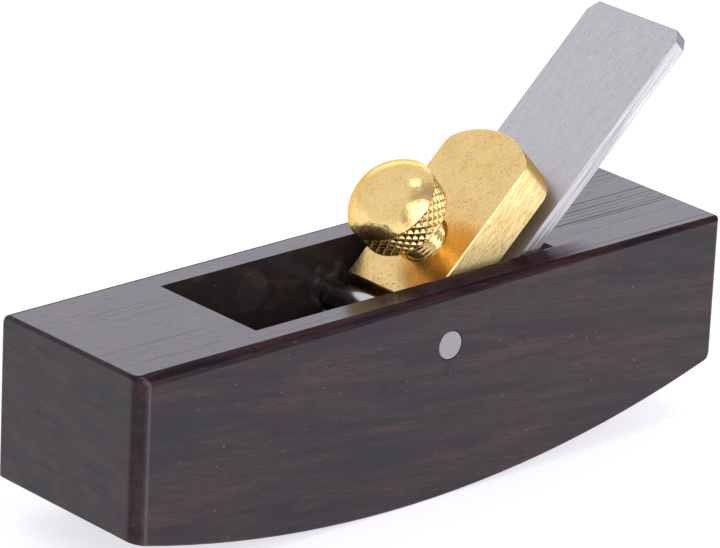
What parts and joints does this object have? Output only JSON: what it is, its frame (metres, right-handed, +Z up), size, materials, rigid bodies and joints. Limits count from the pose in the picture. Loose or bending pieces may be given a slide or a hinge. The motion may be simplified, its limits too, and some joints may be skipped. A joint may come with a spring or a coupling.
{
  "type": "hand plane",
  "caption": "Small dark wooden hand plane with a lengthwise convex sole, a steel iron on a sloped bed, a brass lever cap hooked under a cross pin and a knurled brass thumb screw.",
  "frame": {"origin": "under the middle of the wooden body, at the lowest line of its sole", "axes": "+X from the toe to the heel, +Y across the body, +Z up out of the flat top"},
  "size_m": [0.1, 0.0274, 0.0534],
  "materials": {
    "body_wood": "oiled ebony, satin",
    "pin_steel": "filed flush",
    "iron_steel": "ground lengthwise",
    "cap_brass": "satin, fine scratches",
    "screw_brass": "polished dome, knurled band"
  },
  "bodies": {
    "plane_body": {"plane_body": "body_wood", "cross_pin": "pin_steel"},
    "iron": {"iron": "iron_steel"},
    "lever_cap": {"lever_cap": "cap_brass"},
    "thumb_screw": {"thumb_screw": "screw_brass"}
  },
  "joints": [
    {"name": "iron_slide", "type": "slide", "parent": "plane_body", "child": "iron", "axis": [0.7361, 0, 0.6769], "range_m": [-0.001, 0.042]},
    {"name": "cap_rock", "type": "hinge", "parent": "plane_body", "child": "lever_cap", "pos_m": [0.00162, 0, 0.02105], "axis": [0, 1, 0], "range_deg": [0, 3]},
    {"name": "screw_travel", "type": "slide", "parent": "lever_cap", "child": "thumb_screw", "axis": [-0.6769, 0, 0.7361], "range_m": [0, 0.0006]}
  ],
  "couplings": [
    {"joint": "screw_travel", "follows": "cap_rock", "m_per_rad": 0.01137}
  ]
}
